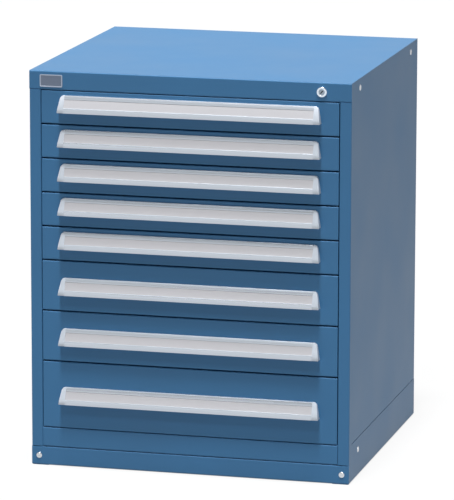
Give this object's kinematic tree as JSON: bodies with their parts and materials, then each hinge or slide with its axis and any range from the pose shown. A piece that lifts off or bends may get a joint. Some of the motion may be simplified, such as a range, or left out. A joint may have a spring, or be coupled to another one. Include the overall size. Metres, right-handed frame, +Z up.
{
  "type": "modular drawer cabinet",
  "caption": "Steel workshop drawer cabinet with full-width pull handles, full-extension roller drawers and a key lock.",
  "frame": {"origin": "on the floor, at the middle of the width and of the depth over the handles", "axes": "+Z up, -Y out of the front, +X to the right as seen from the front"},
  "size_m": [0.7664, 0.7354, 0.935],
  "materials": {
    "blue_powder_coat": "smooth powder coat, satin",
    "bright_zinc": "zinc plated, satin",
    "anodised_aluminium": "clear anodised, satin",
    "pale_plastic": "moulded caps and a smooth blank label strip",
    "chromed_lock": "polished",
    "black_nylon": "moulded",
    "plate_metal": "brushed, bare"
  },
  "bodies": {
    "housing": {"right_side_panel": "blue_powder_coat", "left_side_panel": "blue_powder_coat", "back_panel": "blue_powder_coat", "top_cover": "blue_powder_coat", "bottom_pan": "blue_powder_coat", "right_base_skirt": "blue_powder_coat", "left_base_skirt": "blue_powder_coat", "rear_base_rail": "blue_powder_coat", "base_front_cover": "blue_powder_coat", "base_cover_screws": "bright_zinc", "side_bolts": "bright_zinc", "uprights": "bright_zinc", "cabinet_rails": "bright_zinc", "nameplate": "plate_metal", "lock_barrel": "chromed_lock", "lock_bar_guides": "black_nylon"},
    "lock": {"lock_plug": "chromed_lock", "lock_crank": "bright_zinc"},
    "lock_bar": {"lock_bar": "bright_zinc", "lock_fingers": "bright_zinc"},
    "drawer_1": {"drawer_1_tray": "blue_powder_coat", "drawer_1_front": "blue_powder_coat", "drawer_1_handle": "anodised_aluminium", "drawer_1_handle_trim": "pale_plastic"},
    "carriage_1": {"drawer_1_carriages": "bright_zinc"},
    "drawer_2": {"drawer_2_tray": "blue_powder_coat", "drawer_2_front": "blue_powder_coat", "drawer_2_handle": "anodised_aluminium", "drawer_2_handle_trim": "pale_plastic"},
    "carriage_2": {"drawer_2_carriages": "bright_zinc"},
    "drawer_3": {"drawer_3_tray": "blue_powder_coat", "drawer_3_front": "blue_powder_coat", "drawer_3_handle": "anodised_aluminium", "drawer_3_handle_trim": "pale_plastic"},
    "carriage_3": {"drawer_3_carriages": "bright_zinc"},
    "drawer_4": {"drawer_4_tray": "blue_powder_coat", "drawer_4_front": "blue_powder_coat", "drawer_4_handle": "anodised_aluminium", "drawer_4_handle_trim": "pale_plastic"},
    "carriage_4": {"drawer_4_carriages": "bright_zinc"},
    "drawer_5": {"drawer_5_tray": "blue_powder_coat", "drawer_5_front": "blue_powder_coat", "drawer_5_handle": "anodised_aluminium", "drawer_5_handle_trim": "pale_plastic"},
    "carriage_5": {"drawer_5_carriages": "bright_zinc"},
    "drawer_6": {"drawer_6_tray": "blue_powder_coat", "drawer_6_front": "blue_powder_coat", "drawer_6_handle": "anodised_aluminium", "drawer_6_handle_trim": "pale_plastic"},
    "carriage_6": {"drawer_6_carriages": "bright_zinc"},
    "drawer_7": {"drawer_7_tray": "blue_powder_coat", "drawer_7_front": "blue_powder_coat", "drawer_7_handle": "anodised_aluminium", "drawer_7_handle_trim": "pale_plastic"},
    "carriage_7": {"drawer_7_carriages": "bright_zinc"},
    "drawer_8": {"drawer_8_tray": "blue_powder_coat", "drawer_8_front": "blue_powder_coat", "drawer_8_handle": "anodised_aluminium", "drawer_8_handle_trim": "pale_plastic"},
    "carriage_8": {"drawer_8_carriages": "bright_zinc"}
  },
  "joints": [
    {"name": "lock_turn", "type": "hinge", "parent": "housing", "child": "lock", "pos_m": [0.3115, -0.34975, 0.91325], "axis": [0, -1, 0], "range_deg": [0, 90]},
    {"name": "lock_bar_lift", "type": "slide", "parent": "housing", "child": "lock_bar", "axis": [0, 0, 1], "range_m": [0, 0.00919]},
    {"name": "drawer_1_slide", "type": "slide", "parent": "housing", "child": "drawer_1", "axis": [0, -1, 0], "range_m": [0, 0.65]},
    {"name": "carriage_1_slide", "type": "slide", "parent": "housing", "child": "carriage_1", "axis": [0, -1, 0], "range_m": [0, 0.325]},
    {"name": "drawer_2_slide", "type": "slide", "parent": "housing", "child": "drawer_2", "axis": [0, -1, 0], "range_m": [0, 0.65]},
    {"name": "carriage_2_slide", "type": "slide", "parent": "housing", "child": "carriage_2", "axis": [0, -1, 0], "range_m": [0, 0.325]},
    {"name": "drawer_3_slide", "type": "slide", "parent": "housing", "child": "drawer_3", "axis": [0, -1, 0], "range_m": [0, 0.65]},
    {"name": "carriage_3_slide", "type": "slide", "parent": "housing", "child": "carriage_3", "axis": [0, -1, 0], "range_m": [0, 0.325]},
    {"name": "drawer_4_slide", "type": "slide", "parent": "housing", "child": "drawer_4", "axis": [0, -1, 0], "range_m": [0, 0.65]},
    {"name": "carriage_4_slide", "type": "slide", "parent": "housing", "child": "carriage_4", "axis": [0, -1, 0], "range_m": [0, 0.325]},
    {"name": "drawer_5_slide", "type": "slide", "parent": "housing", "child": "drawer_5", "axis": [0, -1, 0], "range_m": [0, 0.65]},
    {"name": "carriage_5_slide", "type": "slide", "parent": "housing", "child": "carriage_5", "axis": [0, -1, 0], "range_m": [0, 0.325]},
    {"name": "drawer_6_slide", "type": "slide", "parent": "housing", "child": "drawer_6", "axis": [0, -1, 0], "range_m": [0, 0.65]},
    {"name": "carriage_6_slide", "type": "slide", "parent": "housing", "child": "carriage_6", "axis": [0, -1, 0], "range_m": [0, 0.325]},
    {"name": "drawer_7_slide", "type": "slide", "parent": "housing", "child": "drawer_7", "axis": [0, -1, 0], "range_m": [0, 0.65]},
    {"name": "carriage_7_slide", "type": "slide", "parent": "housing", "child": "carriage_7", "axis": [0, -1, 0], "range_m": [0, 0.325]},
    {"name": "drawer_8_slide", "type": "slide", "parent": "housing", "child": "drawer_8", "axis": [0, -1, 0], "range_m": [0, 0.65]},
    {"name": "carriage_8_slide", "type": "slide", "parent": "housing", "child": "carriage_8", "axis": [0, -1, 0], "range_m": [0, 0.325]}
  ],
  "couplings": [
    {"joint": "lock_turn", "follows": "lock_bar_lift", "rad_per_m": 170.88},
    {"joint": "carriage_1_slide", "follows": "drawer_1_slide", "ratio": 0.5},
    {"joint": "carriage_2_slide", "follows": "drawer_2_slide", "ratio": 0.5},
    {"joint": "carriage_3_slide", "follows": "drawer_3_slide", "ratio": 0.5},
    {"joint": "carriage_4_slide", "follows": "drawer_4_slide", "ratio": 0.5},
    {"joint": "carriage_5_slide", "follows": "drawer_5_slide", "ratio": 0.5},
    {"joint": "carriage_6_slide", "follows": "drawer_6_slide", "ratio": 0.5},
    {"joint": "carriage_7_slide", "follows": "drawer_7_slide", "ratio": 0.5},
    {"joint": "carriage_8_slide", "follows": "drawer_8_slide", "ratio": 0.5}
  ]
}
